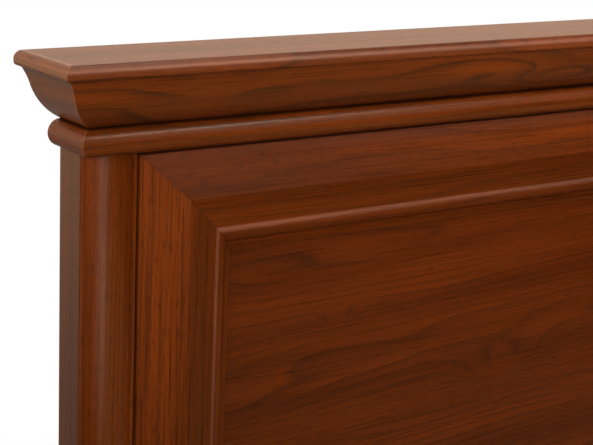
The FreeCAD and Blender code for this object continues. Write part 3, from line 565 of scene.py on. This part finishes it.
# The grain's direction on each piece of a board, the direction that it wraps in, and its figure. The order gives the
# seeds.
BOARD_GRAINS = {
    # The top board's tint is greyer than the front pieces': partly the foil's tone, partly a painted sheen of the top
    # face
    "top_board": (X, Y, dict(lines=60, waves=0.5, contrast=0.35, tint=(0.95, 1.1, 1.3))),
    "top_rail": (X, Z, dict(contrast=0.4)),
    "crown_front": (X, (0, -0.7, 0.7), dict(
        lines=42, waves=0.5, contrast=0.9, streaks=0.25, tint=(1.17, 1.13, 1.06), swells=CROWN_SWELLS,
        seams_and_painted_light=(CROWN_SHADE, CROWN_LIP_SHADE, CROWN_ROUNDING_SHADE, CROWN_EDGE_HIGHLIGHT, CROWN_LEFT_MITRE, CROWN_RIGHT_MITRE,
               FOOT_CREVICE_SHADE))),
    "crown_left": (Y, (-0.7, 0, 0.7), dict(CROWN_SIDE, seams_and_painted_light=(CROWN_LEFT_MITRE, FOOT_CREVICE_SHADE))),
    "crown_right": (Y, (0.7, 0, 0.7), dict(CROWN_SIDE, seams_and_painted_light=(CROWN_RIGHT_MITRE, FOOT_CREVICE_SHADE))),
    "bead_front": (X, (0, -0.3, 1), dict(
        lines=90, waves=0.6, contrast=0.45, streaks=0.25, gloss=0.36, tint=(0.88, 0.88, 0.8),
        seams_and_painted_light=(CROWN_LEFT_MITRE, CROWN_RIGHT_MITRE, TOP_CREVICE_SHADE))),
    "bead_left": (Y, (-0.3, 0, 1), dict(BEAD_SIDE, seams_and_painted_light=(CROWN_LEFT_MITRE, TOP_CREVICE_SHADE))),
    "bead_right": (Y, (0.3, 0, 1), dict(BEAD_SIDE, seams_and_painted_light=(CROWN_RIGHT_MITRE, TOP_CREVICE_SHADE))),
    "post_left": (Z, (1, -1, 0), POST),
    "post_right": (Z, (1, 1, 0), POST),
    "frame_top": (X, (0, -0.4, 0.9), dict(FRAME_LEVEL, seams_and_painted_light=frame_painted_bands_and_mitres("top", "top_left", "top_right"))),
    "frame_bottom": (X, (0, 0.4, 0.9), dict(FRAME_LEVEL, seams_and_painted_light=frame_painted_bands_and_mitres("bottom", "bottom_left", "bottom_right"))),
    "frame_left": (Z, (0.9, 0.4, 0), dict(FRAME_UPRIGHT, seams_and_painted_light=frame_painted_bands_and_mitres("left", "top_left", "bottom_left"))),
    "frame_right": (Z, (0.9, -0.4, 0), dict(FRAME_UPRIGHT, seams_and_painted_light=frame_painted_bands_and_mitres("right", "top_right", "bottom_right"))),
    "panel": (X, (-0.02, 0, 1), dict(lines=95, waves=1.5, contrast=0.6, streaks=0.28, gloss=0.22,
                                     tint=(0.74, 0.69, 0.95), swells=PANEL_SWELLS)),
    "lower_rail": (X, Z, dict(contrast=0.4)),
}

# Seeds, which set each piece's figure apart. Each slat has its number.
BOARD_SEEDS = {"headboard": 1, "footboard": 21}
SIDE_SEEDS = {"left": 0, "right": 1}
RAIL_SEED = 50
LEDGER_SEED = 60
BEAM_SEED = 33
LEG_SEED = 35

STEEL_NODES = ("plate_screws", "ledger_screws", "post_slot_plates", "rail_hook_plates", "centre_beam_brackets",
               "centre_leg_nut", "centre_foot_spindle")
PLASTIC_NODES = ("post_glides", "centre_foot_pad")


def dress(node, material):
    """Gives a node's mesh one material."""
    shown = nodes[node]
    shown.data.materials.clear()
    shown.data.materials.append(material)


def dress_nodes():
    for board, first_seed in BOARD_SEEDS.items():
        for seed, (piece, (along, across, figure)) in enumerate(BOARD_GRAINS.items(), first_seed):
            node = f"{board}_{piece}"
            if node in nodes:
                dress(node, cherry(node, along, across, seed, **figure))
    for side, shift in SIDE_SEEDS.items():
        rail = f"side_rail_{side}"
        dress(rail, cherry(rail, Y, (1, 0, 1), RAIL_SEED + shift, **SIDE_RAIL))
        dress(f"ledger_{side}", pine(f"pine_ledger_{side}", Y, (1, 0, 1), LEDGER_SEED + shift))
    for index in SLAT_NUMBERS:
        dress(f"slat_{index:02d}", pine(f"pine_slat_{index:02d}", X, (0, 1, 1), index))
    dress("centre_beam", pine("pine_beam", Y, (1, 0, 1), BEAM_SEED))
    dress("centre_leg", pine("pine_leg", Z, (1, 1, 0), LEG_SEED))
    dress("dowels", beech("beech"))
    for members, material in ((STEEL_NODES, zinc("zinc_steel")), (PLASTIC_NODES, black_plastic("black_plastic"))):
        for node in members:
            dress(node, material)


# Straps and staples under the slats

STRAP_WIDTH = 0.025
STRAP_THICKNESS = 0.0012
STRAP_SAG = 0.004
STRAP_EDGE_SHARE = 1.15
STRAP_FLAT_SHARE = 0.92

# Points of the strap's rounded edge: the distance from the edge, and the share of half the thickness
STRAP_EDGE = ((0.0022, 0.9), (0.0012, STRAP_EDGE_SHARE), (0.0003, 0.8), (0.0, 0.0))

# Where the strap's points lie, as a share of a slat's width and of the gap after it
SLAT_SHARES = (0.02, 0.1, 0.5, 0.9, 0.98)
GAP_SHARES = (0.04, 0.15, 0.32, 0.5, 0.68, 0.85, 0.96)

STAPLE_SHARES = (0.2, 0.8)
STAPLE_RADIUS = 0.0006
STAPLE_HALF = 0.005
STAPLE_LEG = 0.004
STAPLE_BEND = 0.0009
STAPLE_SIDES = 8


def sweep(mesh, path, ring):
    """Joins a ring of points round each point of a path, and closes both ends."""
    loops = [[mesh.verts.new(point) for point in ring(index, place)] for index, place in enumerate(path)]
    count = len(loops[0])
    for near, far in zip(loops, loops[1:]):
        for step in range(count):
            after = (step + 1) % count
            mesh.faces.new((near[step], near[after], far[after], far[step]))
    mesh.faces.new(list(reversed(loops[0])))
    mesh.faces.new(loops[-1])


def new_piece(name, mesh, material, body):
    bmesh.ops.recalc_face_normals(mesh, faces=mesh.faces)
    data = bpy.data.meshes.new(name)
    mesh.to_mesh(data)
    mesh.free()
    for face in data.polygons:
        face.use_smooth = True
    data.materials.append(material)
    piece = bpy.data.objects.new(name, data)
    scene.collection.objects.link(piece)
    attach(piece, body)
    return piece


def strap_outline():
    """The strap's cross-section: flat, with a slightly thicker rounded edge on each side."""
    half = STRAP_WIDTH / 2
    flat = STRAP_THICKNESS / 2
    right = [(half - inset, flat * share) for inset, share in STRAP_EDGE]
    middle = [(x, flat * STRAP_FLAT_SHARE) for x in (-half / 2, 0.0, half / 2)]
    upper = [(-x, z) for x, z in reversed(right)] + middle + right
    return upper + [(x, -z) for x, z in reversed(upper[1:-1])]


def make_straps():
    """Two straps stapled under the slats, which hang a little between them."""
    slats = [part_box(f"slat_{index:02d}") for index in SLAT_NUMBERS]
    underside = slats[0][0][2]
    strap_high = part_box("slat_tapes")[1]
    middle = strap_high[0] - STRAP_WIDTH / 2
    half_edge = STRAP_THICKNESS / 2 * STRAP_EDGE_SHARE
    centre_z = underside - half_edge
    path = []
    for (low, high), follower in zip(slats, slats[1:] + [None]):
        path += [(low[1] + share * (high[1] - low[1]), centre_z) for share in SLAT_SHARES]
        if follower:
            gap = follower[0][1] - high[1]
            for share in GAP_SHARES:
                path.append((high[1] + share * gap, centre_z - STRAP_SAG * 4 * share * (1 - share)))
    outline = strap_outline()
    mesh = bmesh.new()
    staples = bmesh.new()
    for side in (-1, 1):
        sweep(mesh, path, lambda index, place: [(side * middle + x, place[0], place[1] + z) for x, z in outline])
        for low, high in slats:
            for share in STAPLE_SHARES:
                y = low[1] + share * (high[1] - low[1])
                make_staple(staples, side * middle, y, centre_z - half_edge)
    straps = new_piece("slat_straps", mesh, woven("woven_tape"), "slat_roll")
    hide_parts("slat_tapes")
    new_piece("strap_staples", staples, zinc("staple_wire"), "slat_roll")


def make_staple(mesh, x, y, z):
    """A wire staple across the strap, with both legs up in the slat."""
    half = [(STAPLE_HALF - STAPLE_BEND, 0.0), (STAPLE_HALF - STAPLE_BEND * 0.3, STAPLE_BEND * 0.3),
            (STAPLE_HALF, STAPLE_BEND), (STAPLE_HALF, STAPLE_LEG)]
    path = [(-across, up) for across, up in reversed(half)] + half

    def ring(index, place):
        before = path[max(index - 1, 0)]
        after = path[min(index + 1, len(path) - 1)]
        run = Vector((after[0] - before[0], 0, after[1] - before[1])).normalized()
        side = Vector(Y)
        other = run.cross(side)
        centre = Vector((x + place[0], y, z - STAPLE_RADIUS / 2 + place[1]))
        return [centre + STAPLE_RADIUS * (math.cos(turn) * side + math.sin(turn) * other)
                for turn in (math.tau * step / STAPLE_SIDES for step in range(STAPLE_SIDES))]

    sweep(mesh, path, ring)


make_camera()
make_world()
make_floor()
for lamp in LAMPS:
    make_lamp(*lamp)
dress_nodes()
make_straps()
scene.view_settings.view_transform = "Standard"
